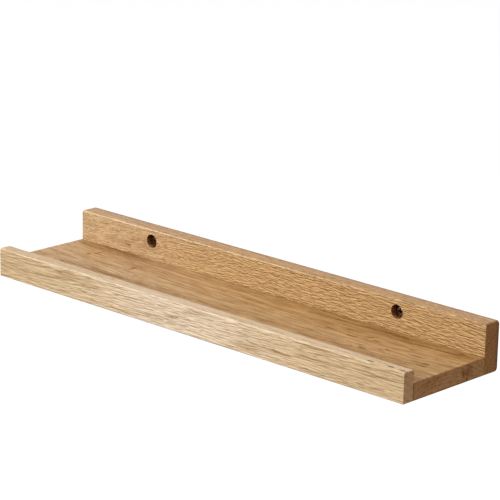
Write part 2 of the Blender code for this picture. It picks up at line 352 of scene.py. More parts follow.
class OakFinish(bpy.types.PropertyGroup):
    """Surface of the three boards, and the colours that they share"""

    pore: colour_property("Pores", "Inside of the open pores, and painted shade near the wall", (0.47, 0.30, 0.14))
    # Painted shade: this colour multiplies the lower and rear rounded edges, darkened as if they stood in
    # shade
    painted_edge_shade: colour_property("Painted edge shade", "Multiplies the lower and rear edges' colour", (0.62, 0.57, 0.56))
    # Partly wear and partly a painted highlight on the upper front edges, which face the lamps
    rubbed: colour_property("Rubbed arrises and painted highlight", "Wood rubbed pale, partly a painted highlight", (1.0, 0.91, 0.77))
    gloss: share_property("Gloss", "Specular level of the oiled wood", 0.18)
    polish: share_property("Polish", "Roughness of the arrises that hands have polished", 0.24)
    roughness: share_property("Roughness", "Of the oiled wood", 0.44)
    unevenness: length_property("Unevenness", "Depth of the sanded faces' waves", 0.05 * MM)
    wear: length_property("Arris wear", "Most wood that handling took off an edge", 0.12 * MM)
    relief: length_property("Grain relief", "Depth of the pores and fibres", 0.30 * MM)


COLOUR_USES = {
    "pale": "Wood of the pale bands",
    "worn": "The same in the board's paler stretch",
    "deep": "Wood of the dark bands and flecks",
    "end": "Multiplies the colour of the end grain",
    "top": "Multiplies the colour of the top face",
}
BOARD_COLOURS = {
    "back": dict(
        pale=(0.935, 0.778, 0.555), worn=(0.915, 0.785, 0.605), deep=(0.53, 0.36, 0.18),
        end=(0.85, 0.71, 0.53), top=(0.95, 0.905, 0.85),
    ),
    "shelf": dict(
        pale=(0.87, 0.70, 0.48), worn=(0.87, 0.72, 0.54), deep=(0.52, 0.335, 0.10),
        end=(1.0, 0.93, 0.90), top=(1.0, 1.0, 1.0),
    ),
    "lip": dict(
        pale=(0.955, 0.85, 0.68), worn=(0.96, 0.865, 0.75), deep=(0.655, 0.495, 0.30),
        end=(1.0, 0.885, 0.815), top=(1.0, 1.0, 1.0),
    ),
}
OakFinish.__annotations__.update(
    (f"{board}_{part}", colour_property(f"{board.title()}, {part}", COLOUR_USES[part], colour))
    for board, colours in BOARD_COLOURS.items()
    for part, colour in colours.items()
)


class ScrewFinish(bpy.types.PropertyGroup):
    """Thread and metal of the wall screws"""

    pitch: length_property("Thread pitch", "From one turn of the thread to the next", 1.8 * MM)
    core: length_property("Core radius", "Of the shank between the turns", 1.35 * MM)
    neck: length_property("Neck", "Plain shank under the head", 7 * MM)
    metal: colour_property("Metal", "Dark plated steel", (0.66, 0.56, 0.45))
    roughness: share_property("Roughness", "Of the plating", 0.44)


class StageSettings(bpy.types.PropertyGroup):
    """Floor, light and camera"""

    floor_drop: length_property("Floor", "How far the floor lies under the ledge", 1.25)
    ambient: share_property("Ambient light", "Strength of the white surroundings", 0.52)
    key_power: power_property("Key lamp", "Power of the large soft lamp in front", 162.0)
    rear_power: power_property("Rear lamp", "Power of the small lamp behind and above", 30.0)
    azimuth: angle_property("Azimuth", "Camera's turn round the ledge", math.radians(43.117))
    elevation: angle_property("Elevation", "Camera's height angle", math.radians(15.984))
    roll: angle_property("Roll", "Camera's turn about its own axis", math.radians(1.2006))
    distance: length_property("Distance", "From the camera to the ledge's middle", 1.67815)
    lens: number_property("Lens", "Focal length", 167.975, min=1.0, unit="CAMERA")


def linear(colour):
    """A display colour in the scene's linear light, with full alpha."""
    shown = np.array(colour)
    dark = shown / 12.92
    bright = ((shown + 0.055) / 1.055) ** 2.4
    return (*np.where(shown <= 0.04045, dark, bright), 1.0)


def mesh_from_rings(name, rings):
    """A closed skin over an array of rings, (ring, point, xyz).

    Point i of a ring joins point i + 1 of it and point i of the next ring, and a pole at the
    middle of the first and of the last ring closes the two ends.
    """
    count, points = rings.shape[:2]
    here = np.arange(count * points).reshape(count, points)
    after = np.roll(here, -1, axis=1)
    quads = np.stack([here[:-1], after[:-1], after[1:], here[1:]], axis=-1).reshape(-1, 4)
    first_pole = np.full(points, count * points)
    first_fan = np.stack([after[0], here[0], first_pole], axis=-1)
    last_fan = np.stack([here[-1], after[-1], first_pole + 1], axis=-1)
    corners = np.concatenate([rings.reshape(-1, 3), rings[[0, -1]].mean(axis=1)])
    faces = quads.tolist() + first_fan.tolist() + last_fan.tolist()
    mesh = bpy.data.meshes.new(name)
    mesh.from_pydata(corners.tolist(), [], faces)
    return mesh


def place(name, data):
    piece = bpy.data.objects.new(name, data)
    bpy.context.scene.collection.objects.link(piece)
    return piece


def eased(count):
    """count steps t from 0 to 1, without the 1. Each loses a sine of t, which sets both ends closer."""
    t = np.arange(count) / count
    return t - EASE * np.sin(TURN * t) / TURN


def waves(points, lengths, count, seed):
    """Smooth unevenness from 0 to 1 at each point.

    It is the mean of count sine waves, each with its own direction, phase and a wavelength near
    the given one along each axis.
    """
    draw = np.random.default_rng(seed)
    turns = draw.uniform(*WAVE_SPREAD, (3, count)) * draw.choice([-1, 1], (3, count))
    turns /= np.array(lengths)[:, None]
    phase = draw.uniform(0, 1, count)
    return 0.5 + 0.5 * np.sin(TURN * (points @ turns + phase)).mean(axis=-1)


def end_inset(distance, radius):
    """How far a side draws in at this distance from the board's end: along a quarter circle."""
    inside = np.clip(radius - distance, 0, radius)
    return radius - np.sqrt(radius**2 - inside**2)


class Board:
    """A board between two corners with unlike rounded edges.

    long_radii are the radii of the four long edges, in the order front bottom, rear bottom, rear
    top, front top. end_radii are those of the edges that both ends share with the front, rear,
    bottom and top faces.
    """

    def __init__(self, low, high, long_radii, end_radii, step=ALONG_STEP):
        self.low = np.array(low)
        self.high = np.array(high)
        self.long_radii = long_radii
        self.end_radii = end_radii
        self.step = step

    def stations(self):
        """X, distance from the nearer end and share of the outline's full size, for each ring.

        A ring's way in from an end goes by the square of its number as far as the widest rounding
        reaches, and by even steps from there. The rings of the two caps lie in the end faces.
        """
        widest = max(self.end_radii)
        edge = widest * (np.arange(END_RINGS) / END_RINGS) ** 2
        length = self.high[0] - self.low[0]
        body = np.linspace(widest, length - widest, round(length / self.step))
        caps = np.zeros(len(CAP_SCALES))
        travel = np.concatenate([caps, edge, body, length - edge[::-1], length - caps])
        scale = np.concatenate([CAP_SCALES, np.ones(travel.size - 2 * caps.size), CAP_SCALES[::-1]])
        return self.low[0] + travel, np.minimum(travel, length - travel), scale

    def outline(self, from_end):
        """Points and outward directions of the section, (ring, point, yz), and their corner shares.

        The section is a rectangle whose four sides draw in near the ends along quarter circles. Its
        corners are quarter circles about a centre one radius inside both sides, and eased points
        lead straight from one to the next. The corner share, (corner, point), is the sine of twice
        the angle on that corner's arc: 0 where it meets the flats and 1 at its middle.
        """
        front, rear, bottom, top = (end_inset(from_end, radius) for radius in self.end_radii)
        y = np.stack([self.low[1] + front, self.high[1] - rear])
        z = np.stack([self.low[2] + bottom, self.high[2] - top])
        angle = np.linspace(0, QUARTER, ARC_STEPS + 1)
        arcs = []
        for i, (side_y, side_z) in enumerate(((0, 0), (1, 0), (1, 1), (0, 1))):
            radius = self.long_radii[i]
            turned = angle + math.pi + i * QUARTER
            direction = np.stack([np.cos(turned), np.sin(turned)], axis=-1)
            centre_y = y[side_y] + radius * (1 - 2 * side_y)
            centre_z = z[side_z] + radius * (1 - 2 * side_z)
            arc = np.stack([centre_y, centre_z], axis=-1)[:, None] + radius * direction
            share = np.zeros((4, angle.size))
            share[i] = np.sin(2 * angle)
            arcs.append((arc, np.broadcast_to(direction, arc.shape), share))
        faces = (self.high - self.low)[[1, 2, 1, 2]]
        points, ways, corner = [], [], []
        for i, (arc, way, share) in enumerate(arcs):
            steps = max(round(faces[i] / ACROSS_STEP), FEWEST_STEPS)
            start, finish = arc[:, -1:], arcs[(i + 1) % 4][0][:, :1]
            straight = start + (finish - start) * eased(steps)[1:, None]
            points += [arc, straight]
            ways += [way, np.broadcast_to(way[:, -1:], straight.shape)]
            corner += [share, np.zeros((4, steps - 1))]
        return np.concatenate(points, 1), np.concatenate(ways, 1), np.concatenate(corner, 1)

    def mesh(self, name, unevenness, wear, seed):
        """The board's skin, sunk by the waves of its sanded faces and by the wear of its edges.

        Wear on an edge is its corner share times a slow wave along it, plus a few short dents,
        each a bell curve along the edge.
        """
        x, from_end, scale = self.stations()
        outline, way, corner = self.outline(from_end)
        along = np.broadcast_to(x[:, None, None], (*outline.shape[:2], 1))
        rings = np.concatenate([along, outline], axis=-1)
        sunk = unevenness * waves(rings, FACE_WAVES, FACE_WAVE_COUNT, seed)
        draw = np.random.default_rng(seed + 1)
        for i in range(4):
            slow = waves(x[:, None] * np.ones(3), EDGE_WAVES, EDGE_WAVE_COUNT, seed + EDGE_SEED + i)
            dent_x = draw.uniform(x[0], x[-1], DENTS)
            dent_length = draw.uniform(*DENT_LENGTHS, DENTS) * MM
            dent_depth = draw.uniform(*DENT_DEPTHS, DENTS)
            dents = dent_depth * np.exp(-(((x[:, None] - dent_x) / dent_length) ** 2))
            worn = EDGE_WAVE_SHARE * slow + dents.sum(axis=1)
            sunk = sunk + wear * worn[:, None] * corner[i]
        rings[..., 1:] -= way * sunk[..., None]
        middle = rings.copy()
        middle[..., 1:] = ((self.low + self.high) / 2)[1:]
        return mesh_from_rings(name, middle + (rings - middle) * scale[:, None, None])


def turned_rings(radius, y, angle, axis):
    """Rings round a line along Y through axis, (ring, point, xyz): one at each y, at these angles."""
    x = axis.x + radius * np.cos(angle)
    z = axis.z - radius * np.sin(angle)
    return np.stack([x, np.broadcast_to(y[:, None], x.shape), z], axis=-1)


def turned_mesh(name, profile, axis, steps):
    """A profile of (radius, y) turned about a line along Y: a ring at each of its points."""
    radius, y = np.array(profile).T
    angle = TURN * np.arange(steps) / steps
    return mesh_from_rings(name, turned_rings(radius[:, None], y, angle, axis))


def carve(piece, cutter):
    """Takes the cutter out of the piece for good, and removes it."""
    change = piece.modifiers.new(cutter.name, "BOOLEAN")
    change.operation = "DIFFERENCE"
    change.solver = "EXACT"
    change.object = cutter
    finished = piece.evaluated_get(bpy.context.evaluated_depsgraph_get())
    mesh = bpy.data.meshes.new_from_object(finished)
    piece.modifiers.clear()
    piece.data = mesh
    bpy.data.objects.remove(cutter)


def joined(name, meshes):
    """One object that holds several separate closed meshes."""
    gathered = bmesh.new()
    for mesh in meshes:
        gathered.from_mesh(mesh)
    whole = bpy.data.meshes.new(name)
    gathered.to_mesh(whole)
    gathered.free()
    return place(name, whole)


def dowel_bores(dowels):
    """Cutters for the blind bores that both boards of a joint share."""
    bores = []
    for dowel in dowels:
        low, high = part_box(dowel)
        radius = (high.x - low.x) / 2 + DOWEL_SIDE_GAP
        start, end = low.y - DOWEL_END_GAP, high.y + DOWEL_END_GAP
        tiny = radius / CAP_FRACTION
        profile = [(tiny, start), (radius, start), (radius, end), (tiny, end)]
        bores.append(turned_mesh("bore", profile, (low + high) / 2, BORE_STEPS))
    return bores


def screw_holes():
    """Cutters for a counterbore with a broken mouth, then the shank's hole out to the rear face."""
    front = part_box(BACK)[0].y
    holes = []
    for screw in SCREWS:
        low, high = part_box(screw)
        wide = (high.x - low.x) / 2 + HEAD_SIDE_GAP
        narrow = SHANK_RADIUS + SHANK_GAP
        seat = low.y + HEAD_HEIGHT + HEAD_SEAT_GAP
        tiny = narrow / CAP_FRACTION
        profile = [
            (tiny, front - OVERSHOOT),
            (wide + MOUTH_CHAMFER, front - OVERSHOOT),
            (wide + MOUTH_CHAMFER, front),
            (wide, front + MOUTH_CHAMFER),
            (wide, seat),
            (narrow, seat),
            (narrow, OVERSHOOT),
            (tiny, OVERSHOOT),
        ]
        holes.append(turned_mesh("hole", profile, (low + high) / 2, HOLE_STEPS))
    return holes


def finish_piece(piece, finish, node):
    """Smooth shading, the finish, and what the piece stands for in the CAD model."""
    piece.data.materials.append(finish)
    piece.data.shade_smooth()
    piece.data.set_sharp_from_angle(angle=SHARP_ANGLE)
    if node:
        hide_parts(node)
    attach(piece, "root")


NODE_COLUMNS, NODE_SPACE = 14, (200, -320)


class NodeNet:
    """Adds nodes to one tree, left to right, and joins each input to a socket or gives it a value."""

    def __init__(self, tree):
        self.tree = tree
        self.count = 0

    def add(self, kind, inputs=None, **settings):
        """A node. Its kind is its type's name, without ShaderNode where that comes first."""
        node = self.tree.nodes.new(kind if kind.startswith("Node") else f"ShaderNode{kind}")
        row, column = divmod(self.count, NODE_COLUMNS)
        node.location = (NODE_SPACE[0] * column, NODE_SPACE[1] * row)
        self.count += 1
        for name, value in settings.items():
            setattr(node, name, value)
        for socket, value in (inputs or {}).items():
            self.join(node.inputs[socket], value)
        return node

    def join(self, socket, value):
        if isinstance(value, bpy.types.NodeSocket):
            self.tree.links.new(value, socket)
        else:
            socket.default_value = value

    def math(self, operation, *values, clamp=False):
        wires = dict(enumerate(values))
        return self.add("Math", wires, operation=operation, use_clamp=clamp).outputs[0]

    def times(self, first, second):
        return self.math("MULTIPLY", first, second)

    def less(self, first, second):
        return self.math("SUBTRACT", first, second)

    def line(self, value, slope, start):
        """value times slope, plus start."""
        return self.math("MULTIPLY_ADD", value, slope, start)

    def vector(self, operation, first, second):
        wires = {0: first, 1: second}
        return self.add("VectorMath", wires, operation=operation).outputs[0]

    def scaled(self, vector, scale):
        return self.vector("MULTIPLY", vector, scale)

    def length(self, vector):
        return self.add("VectorMath", {0: vector}, operation="LENGTH").outputs["Value"]

    def position(self):
        return self.add("TexCoord").outputs["Object"]

    def parts(self, vector):
        return self.add("SeparateXYZ", {0: vector}).outputs

    def point(self, x, y, z):
        return self.add("CombineXYZ", {0: x, 1: y, 2: z}).outputs[0]

    def ramp(self, value, low, high, out_low=0.0, out_high=1.0):
        """A smooth step: out_low up to low, out_high from high on."""
        wires = {"Value": value, "From Min": low, "From Max": high, "To Min": out_low, "To Max": out_high}
        return self.add("MapRange", wires, interpolation_type="SMOOTHSTEP").outputs[0]

    def fall(self, value, low, high):
        """A smooth step down, from 1 to 0."""
        return self.ramp(value, low, high, 1.0, 0.0)

    def noise(self, vector, detail=2.0, roughness=0.5, distortion=0.0, output="Fac"):
        wires = {"Vector": vector, "Scale": 1.0, "Detail": detail}
        wires.update({"Roughness": roughness, "Distortion": distortion})
        return self.add("TexNoise", wires).outputs[output]

    def mix(self, share, first, second, blend="MIX"):
        node = self.add("Mix", data_type="RGBA", blend_type=blend)
        self.join(node.inputs[0], share)
        self.join(node.inputs[6], first)
        self.join(node.inputs[7], second)
        return node.outputs[2]

    def group(self, tree, inputs):
        return self.add("Group", inputs, node_tree=tree).outputs


def effect(name, inputs, outputs):
    """Turns a function that wires up a node group into one that gives the group, built once.

    inputs maps a name to its default, a number or a vector.
    """

    def decorate(build):
        @wraps(build)
        def shared():
            found = bpy.data.node_groups.get(name)
            if found:
                return found
            tree = bpy.data.node_groups.new(name, "ShaderNodeTree")
            for socket, default in inputs.items():
                kind = "NodeSocketVector" if isinstance(default, tuple) else "NodeSocketFloat"
                made = tree.interface.new_socket(name=socket, in_out="INPUT", socket_type=kind)
                made.default_value = default
            for socket in outputs:
                tree.interface.new_socket(name=socket, in_out="OUTPUT", socket_type="NodeSocketFloat")
            net = NodeNet(tree)
            results = build(net, net.add("NodeGroupInput").outputs)
            net.add("NodeGroupOutput", dict(zip(outputs, results)))
            return tree

        return shared

    return decorate


AXES = {"Along": 0.0, "Depth": 0.0, "Rise": 0.0}
ZERO = (0.0, 0.0, 0.0)
FLOW_INPUTS = {"Position": ZERO, "Lean": ZERO, "Bow": ZERO, "Wander": 1.0, "Seed": 0.0}
MARK_INPUTS = {"Position": ZERO, "Centre": ZERO, "Reach": (1.0, 1.0, 1.0), "Slope": ZERO, "Fray": 0.0}
MILLIMETRES = (1 / MM,) * 3


@effect("Grain Flow", FLOW_INPUTS, AXES)
def grain_flow(net, given):
    """Where a point of the wood lies along and across its own grain, in millimetres.

    Depth and Rise lose Lean times x and Bow times the square of x in units of 100 mm, and both
    gain a slow noise, so that the fibres slope, bend and wander.
    """
    position = net.scaled(given["Position"], MILLIMETRES)
    x = net.parts(position)[0]
    hundreds = net.times(x, 1 / HUNDRED)
    square = net.times(hundreds, hundreds)
    straight = position
    for share, power in (("Lean", x), ("Bow", square)):
        moved = net.scaled(given[share], net.point(power, power, power))
        straight = net.vector("SUBTRACT", straight, moved)
    slow = net.vector("ADD", net.scaled(position, DRIFT_SCALE), net.point(given["Seed"], 0.0, 0.0))
    drift = net.vector("SUBTRACT", net.noise(slow, output="Color"), (0.5, 0.5, 0.5))
    reach = net.times(given["Wander"], DRIFT_REACH)
    wander = net.scaled(drift, net.point(0.0, reach, reach))
    _, depth, rise = net.parts(net.vector("ADD", straight, wander))
    return net.line(given["Seed"], SEED_STEP, x), depth, rise


@effect("Wood Mark", MARK_INPUTS, ("Mask",))
def wood_mark(net, given):
    """One mark: 1 at its middle and 0 past its reach, with an edge that the fibres fray.

    The offset from the centre loses Slope times its own x. Its length in units of the reach,
    plus a share of the fibres' tone, runs down a smooth step.
    """
    offset = net.vector("SUBTRACT", given["Position"], given["Centre"])
    x = net.parts(offset)[0]
    sheared = net.vector("SUBTRACT", offset, net.scaled(given["Slope"], net.point(x, x, x)))
    away = net.length(net.vector("DIVIDE", sheared, given["Reach"]))
    return (net.fall(net.line(given["Fray"], FRAYING, away), *MARK_EDGE),)


@effect("Growth Rings", {**AXES, "Pith Depth": 0.0, "Pith Rise": 0.0, "Spacing": 3.0}, ("Ring", "Porous"))
def growth_rings(net, given):
    """Yearly rings about the pith.

    The distance from the pith over the spacing, made uneven by a slow noise, is cut to its
    fraction. Ring rises just before a year's start and falls off over the early wood, and Porous is
    the early wood.
    """
    depth = net.less(given["Depth"], given["Pith Depth"])
    rise = net.less(given["Rise"], given["Pith Rise"])
    years = net.math("DIVIDE", net.length(net.point(0.0, depth, rise)), given["Spacing"])
    slow = net.vector("MULTIPLY", net.point(given["Along"], years, 0.0), (*RING_DRIFT, 0.0))
    phase = net.math("FRACT", net.line(net.noise(slow), RING_UNEVENNESS, years))
    ring = net.math("MAXIMUM", net.fall(phase, *RING_FALL), net.ramp(phase, *RING_RISE))
    return ring, net.ramp(phase, *POROUS_FALL, 1.0, LEAST_POROUS)


def stretched(net, given):
    """The grain's own coordinates over the pattern's length and width."""
    over = (("Along", "Length"), ("Depth", "Width"), ("Rise", "Width"))
    return net.point(*(net.math("DIVIDE", given[axis], given[size]) for axis, size in over))


@effect("Fibre Streaks", {**AXES, "Length": 30.0, "Width": 1.0}, ("Streak",))
def fibre_streaks(net, given):
    """Noise drawn out along the grain, spread to run from 0 to 1."""
    return (net.ramp(net.noise(stretched(net, given), *FIBRE_NOISE), *FIBRE_SPREAD),)


@effect("Brushed Ridges", {**AXES, "Length": 8.0, "Width": 1.0}, ("Height", "Lit"))
def brushed_ridges(net, given):
    """Fine ridges that brushing left between the softer fibres.

    Height is drawn-out noise. Lit is painted light and shade: how much higher it is than a little way up
    the face, from -1 to 1, so that the side of a ridge that faces up is painted paler and the side that
    faces down painted darker, as if lit from above.
    """
    above = {**dict(given.items()), "Rise": net.line(given["Width"], LIT_STEP, given["Rise"])}
    noises = (net.noise(stretched(net, spot), *RIDGE_NOISE) for spot in (given, above))
    here, there = (net.ramp(noise, *RIDGE_SPREAD) for noise in noises)
    return here, net.less(here, there)


@effect("Open Pores", {**AXES, "Length": 5.0, "Width": 0.35, "Porous": 1.0}, ("Pore",))
def open_pores(net, given):
    """Short dark dashes along the grain, thick in the early wood: the peaks of fine drawn-out noise."""
    level = net.ramp(given["Porous"], 0.0, 1.0, *PORE_LEVELS)
    above = net.less(net.noise(stretched(net, given), *PORE_NOISE), level)
    return (net.ramp(above, *PORE_EDGE),)


@effect("Arris", {"Normal": (0.0, 0.0, 1.0)}, ("Upper", "Lower", "Rear"))
def arris(net, given):
    """Rounded edges, told by the direction they face, for the wood's normal in its own axes.

    Upper is 1 on those that face up and to the front, Lower on those that face down and out, Rear
    on those that face back. All are 0 on the flat faces.
    """
    _, depth, rise = net.parts(given["Normal"])
    upper = net.times(net.ramp(rise, *UPPER_RISE), net.fall(depth, *UPPER_DEPTH))
    lower = net.times(net.fall(rise, *LOWER_RISE), net.ramp(rise, *UNDERSIDE))
    rear = net.times(net.ramp(depth, *REAR_DEPTH), net.fall(depth, *REAR_FACE))
    return upper, lower, rear


def new_material(name):
    made = bpy.data.materials.new(name)
    made.use_nodes = True
    made.node_tree.nodes.clear()
    return made, NodeNet(made.node_tree)


def close_material(net, colour, roughness, height, depth, plain):
    """The shader and its output. height feeds a bump of that depth, and plain holds other values."""
    bump = net.add("Bump", {"Height": height, "Strength": 1.0, "Distance": depth})
    wires = {"Base Color": colour, "Roughness": roughness, "Normal": bump.outputs[0], **plain}
    shader = net.add("BsdfPrincipled", wires)
    net.add("OutputMaterial", {"Surface": shader.outputs[0]})


def flow_axes(net, grain, position):
    """The three outputs of a Grain Flow group with the board's own values."""
    values = {"Position": position, "Wander": grain["wander"], "Seed": grain["seed"]}
    values.update({"Lean": (0.0, *grain["lean"]), "Bow": (0.0, *grain["bow"])})
    flow = net.group(grain_flow(), values)
    return {axis: flow[axis] for axis in AXES}


def sized(axes, grain, pattern):
    return {**axes, "Length": grain[pattern][0], "Width": grain[pattern][1]}


def mark_cover(net, node, position, fray):
    """How much of the board's marks covers a point, from 0 to 1."""
    cover = 0.0
    for mark in MARKS[node]:
        values = {"Position": position, "Slope": (0.0, *mark.slope), "Fray": fray}
        for name, lengths in (("Centre", mark.centre), ("Reach", mark.reach)):
            values[name] = tuple(MM * length for length in lengths)
        mask = net.group(wood_mark(), values)[0]
        cover = net.math("MAXIMUM", cover, net.times(mask, mark.share))
    return cover


def pale_stretch(net, x, middle, half):
    """A bell curve along the board, 1 at the middle of its paler stretch. x is in millimetres."""
    away = net.math("DIVIDE", net.less(x, middle), half)
    return net.math("EXPONENT", net.times(net.times(away, away), -1.0))


def oak_material(name, node, board):
    """Solid oak, oiled. Rings, bands, fibres and dashes each move the tone between deep and pale."""
    look = bpy.context.scene.oak_finish
    tones = (getattr(look, f"{board}_{part}") for part in ("pale", "worn", "deep", "end", "top"))
    pale, worn, deep, end_tint, top_tint = map(linear, tones)
    # The pore colour also paints shade: beside the wall here, and through the marks in the screw holes,
    # along the foot of the back board and along the shelf's lower edge
    dark = linear(look.pore)
    grain = GRAINS[node]
    shares = grain["shares"]
    made, net = new_material(name)
    coordinates = net.add("TexCoord").outputs
    position, normal = coordinates["Object"], coordinates["Normal"]
    across, from_wall, _ = net.parts(position)
    x = net.times(across, 1 / MM)
    facing_x, facing_y, facing_z = net.parts(normal)
    end = net.ramp(net.math("ABSOLUTE", facing_x), *END_FACE)
    top = net.ramp(facing_z, *TOP_FACE)
    on_front = net.line(top, -TOP_QUIET, 1.0)

    axes = flow_axes(net, grain, position)
    fray = net.group(fibre_streaks(), sized(axes, grain, "fray"))[0]
    cover = mark_cover(net, node, position, fray)
    axes["Rise"] = net.line(cover, MARK_BEND, axes["Rise"])
    pith = {"Pith Depth": grain["pith"][0], "Pith Rise": grain["pith"][1]}
    rings = net.group(growth_rings(), {**axes, **pith, "Spacing": grain["ring_spacing"]})
    fibre = net.group(fibre_streaks(), sized(axes, grain, "fibre"))[0]
    band = net.group(fibre_streaks(), sized(axes, grain, "band"))[0]
    ridge = net.group(brushed_ridges(), sized(axes, grain, "ridge"))
    pore = net.group(open_pores(), {**sized(axes, grain, "pore"), "Porous": rings["Porous"]})[0]

    middle, half, paler = grain["pale_patch"]
    stretch = pale_stretch(net, x, middle, half)
    calm = net.times(stretch, grain["calm"])
    lively = net.times(net.less(1.0, calm), on_front)
    tone = net.line(x, grain["pace"] / HUNDRED, MID_TONE)
    tone = net.line(net.times(stretch, on_front), paler, tone)
    # Painted light and shade: the ridges' Lit pattern makes the sides that face up paler and those that
    # face down darker
    tone = net.line(net.times(ridge["Lit"], lively), shares["ridge"], tone)
    band_share = net.line(calm, CALM_BANDS, shares["band"])
    for value, share in ((rings["Ring"], -shares["ring"]), (fibre, shares["fibre"]), (band, band_share)):
        tone = net.line(net.less(value, 0.5), share, tone)
    even = net.line(rings["Ring"], -END_RING_SHARE, MID_TONE)
    even = net.line(net.less(tone, MID_TONE), END_TONE_SHARE, even)
    tone = net.math("ADD", tone, net.times(end, net.less(even, tone)))
    # Marks darken the tone: knots and streaks, and the marks that are painted shade
    tone = net.math("SUBTRACT", tone, cover, clamp=True)

    paleness = net.math("MAXIMUM", stretch, net.times(top, grain["worn_top"]))
    colour = net.mix(tone, deep, net.mix(paleness, pale, worn))
    colour = net.mix(net.times(pore, grain["pore_share"]), colour, dark)
    # Knots, and the painted shade of the shade marks, darken towards the pore colour
    colour = net.mix(net.ramp(cover, *KNOT_AND_SHADE_RANGE, 0.0, KNOT_AND_SHADE_SHARE), colour, dark)
    colour = net.mix(end, colour, end_tint, "MULTIPLY")
    colour = net.mix(top, colour, top_tint, "MULTIPLY")
    edges = net.group(arris(), {"Normal": normal})
    # Partly rubbing and partly a painted highlight: the upper front edges, which face the lamps, are mixed
    # towards the pale rubbed colour, more at the board's left end
    rub_and_highlight = net.ramp(x, *LEDGE_ENDS, *grain["rubbed"])
    rub_and_highlight = net.times(rub_and_highlight, net.line(fibre, FIBRE_RUB_AND_HIGHLIGHT, 1.0 - FIBRE_RUB_AND_HIGHLIGHT))
    rubbed = net.times(edges["Upper"], rub_and_highlight)
    colour = net.mix(net.times(rubbed, RUB_AND_HIGHLIGHT_SHARE), colour, linear(look.rubbed))
    # Painted shade: the rounded edges that face down and those that face back are multiplied darker, as if
    # in shade
    shaded = net.math("MAXIMUM", edges["Lower"], edges["Rear"])
    colour = net.mix(shaded, colour, linear(look.painted_edge_shade), "MULTIPLY")
    # Painted shade: within a few millimetres of the wall plane, faces other than the rear face are mixed
    # towards the pore colour, as if a wall shaded them
    wall_shade = net.ramp(from_wall, *WALL_SHADE_DEPTH, 0.0, WALL_SHADE_SHARE)
    colour = net.mix(net.times(wall_shade, net.fall(facing_y, *WALL_FACE)), colour, dark)

    height = net.times(net.times(ridge["Height"], RIDGE_HEIGHT), lively)
    height = net.line(fibre, FIBRE_HEIGHT, height)
    height = net.line(pore, PORE_HEIGHT, height)
    rough = net.line(fibre, FIBRE_ROUGHNESS, look.roughness - FIBRE_ROUGHNESS / 2)
    rough = net.line(pore, PORE_ROUGHNESS, rough)
    rough = net.line(end, END_ROUGHNESS, rough)
    plain = {"Specular IOR Level": look.gloss, "Coat Roughness": look.polish, "Coat IOR": POLISH_IOR}
    plain["Coat Weight"] = net.times(rubbed, POLISH_SHARE)
    close_material(net, colour, rough, height, look.relief, plain)
    return made


def beech_material():
    """Pale dowel wood: fine fibres along the dowel, which lies along Y."""
    made, net = new_material("raw_beech")
    position = net.position()
    x, y, z = net.parts(net.scaled(position, MILLIMETRES))
    along_dowel = {"Along": y, "Depth": x, "Rise": z}
    fibre = net.group(fibre_streaks(), {**along_dowel, **BEECH_FIBRE})[0]
    fleck = net.group(open_pores(), {**along_dowel, **BEECH_PORE})[0]
    colour = net.mix(fibre, linear(BEECH_DEEP), linear(BEECH_PALE))
    colour = net.mix(net.times(fleck, FLECK_SHARE), colour, linear(BEECH_FLECK))
    close_material(net, colour, net.line(fibre, *BEECH_ROUGHNESS), fibre, FINE_RELIEF, {})
    return made


def steel_material():
    """Dark plated steel with fine turning marks, rubbed paler where the driver touched it.

    Painted shade darkens the recess: the places near the screw's axis that lie a little behind its dome.
    """
    look = bpy.context.scene.screw_finish
    made, net = new_material("dark_plated_steel")
    position = net.position()
    fine = net.noise(net.scaled(position, TURNING_SCALE), *TURNING_NOISE)
    worn = net.ramp(net.noise(net.scaled(position, WEAR_SCALE)), *WEAR_RANGE)
    metal = linear(look.metal)
    darker = (*(UNWORN * channel for channel in metal[:3]), 1.0)
    low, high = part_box(SCREWS[1])
    x, y, z = net.parts(position)
    aside = net.less(net.math("ABSOLUTE", x), (low.x + high.x) / 2)
    away = net.length(net.point(aside, 0.0, z))
    inside = net.fall(away, *RECESS_SHADE_REACH)
    sunk = net.ramp(y, *(low.y + depth for depth in RECESS_SHADE_DEPTH))
    # Painted shade: the cross recess is mixed towards near black
    recess_shade = net.times(net.times(inside, sunk), RECESS_SHADE_SHARE)
    colour = net.mix(recess_shade, net.mix(worn, darker, metal), linear(RECESS_SHADE))
    rough = net.line(fine, TURNING_ROUGHNESS, look.roughness - TURNING_ROUGHNESS / 2)
    close_material(net, colour, rough, fine, STEEL_RELIEF, {"Metallic": 1.0})
    return made


def glue_material():
    """Set wood glue, brown and slightly glossy, with beads of squeeze-out."""
    made, net = new_material("dark_wood_glue")
    position = net.position()
    beads = net.noise(net.scaled(position, GLUE_SCALE))
    colour = net.mix(beads, linear(GLUE_DEEP), linear(GLUE_PALE))
    close_material(net, colour, net.line(beads, *GLUE_ROUGHNESS), beads, FINE_RELIEF, {})
    return made


def build_board(name, node, slot, long_radii, end_radii, cutters):
    """A board in its node's box, with the cutters taken out of it. Its colours go by its slot."""
    look = bpy.context.scene.oak_finish
    board = Board(*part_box(node), long_radii, end_radii)
    piece = place(name, board.mesh(name, look.unevenness, look.wear, GRAINS[node]["seed"]))
    carve(piece, joined(f"{name}_cutters", cutters))
    finish_piece(piece, oak_material(f"{slot}_wood", node, slot.removeprefix("oak_")), node)


class LEDGE_OT_back_board(bpy.types.Operator):
    """Builds the back board with its two counterbored screw holes"""

    bl_idname = "ledge.back_board"
    bl_label = "Back Board"

    def execute(self, context):
        long_radii = (HIDDEN_RADIUS, REAR_RADIUS, REAR_RADIUS, CREST_RADIUS)
        end_radii = (END_RADIUS, REAR_END_RADIUS, END_RADIUS, BACK_CORNER_RADIUS)
        cutters = screw_holes() + dowel_bores(BACK_DOWELS)
        build_board("oak_back_board", BACK, "oak_back", long_radii, end_radii, cutters)
        return {"FINISHED"}


